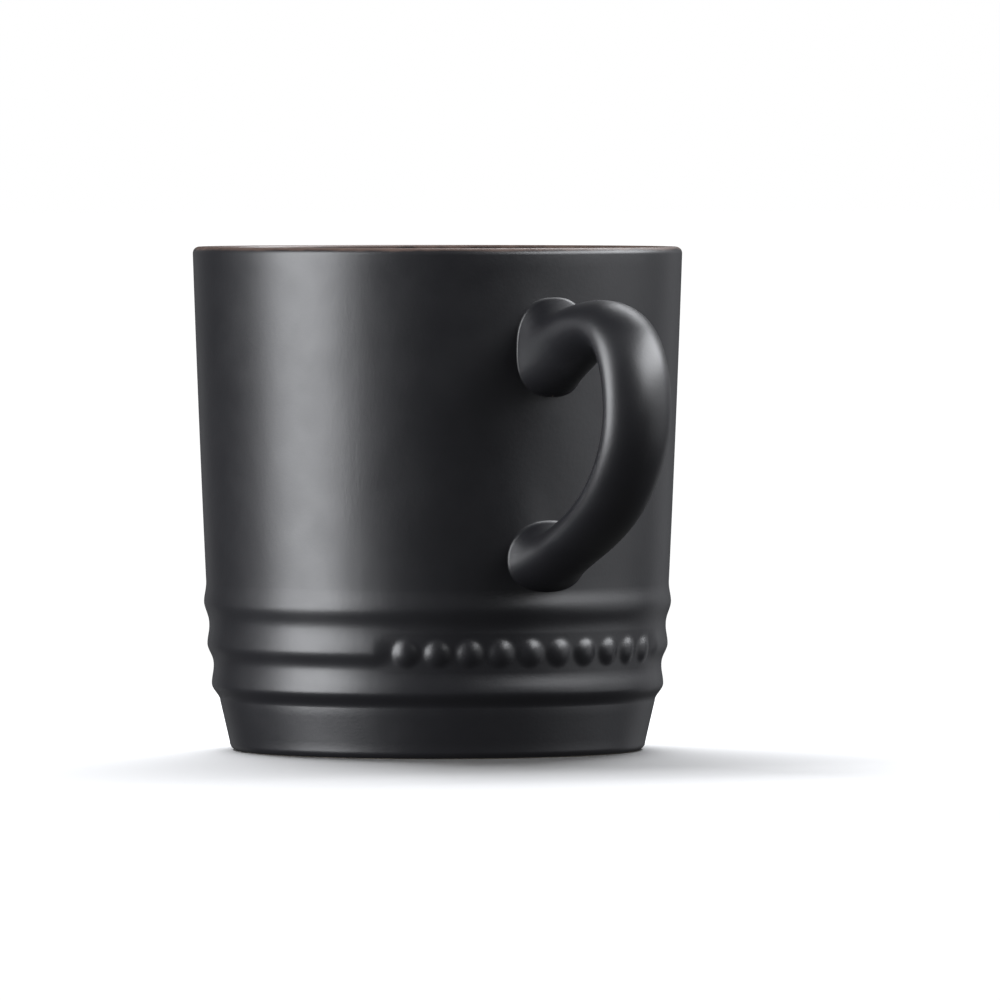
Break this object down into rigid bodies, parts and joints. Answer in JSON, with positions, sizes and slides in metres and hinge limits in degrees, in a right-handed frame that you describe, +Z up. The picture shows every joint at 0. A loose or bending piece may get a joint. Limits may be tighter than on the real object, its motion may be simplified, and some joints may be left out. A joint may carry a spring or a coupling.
{
  "type": "mug",
  "caption": "Straight-sided stoneware mug with stepped rings above the foot, a rounded strap handle and a satin charcoal glaze, for holding hot drinks.",
  "frame": {"origin": "centre of the foot ring, in the plane that the mug stands on", "axes": "+Z up out of the cup's mouth, +X from the cup's axis through the handle, +Y to the left of the handle as seen from the cup's axis"},
  "size_m": [0.1223, 0.088, 0.0905],
  "materials": {
    "satin_glaze": "satin charcoal-black glaze that breaks to warm brown on the lip and sharp edges",
    "liner_glaze": "the same charcoal glaze, slightly glossier inside the cup",
    "bare_stoneware": "matte fired buff stoneware, bare at the foot ring",
    "fired_slip": "matte fired slip, hidden between the handle and the wall"
  },
  "bodies": {
    "root": {"cup_body": "bare_stoneware", "handle": "bare_stoneware", "upper_slip_joint": "fired_slip", "lower_slip_joint": "fired_slip", "outer_glaze": "satin_glaze", "liner_glaze": "liner_glaze", "handle_glaze": "satin_glaze", "recess_glaze": "satin_glaze"}
  },
  "joints": []
}
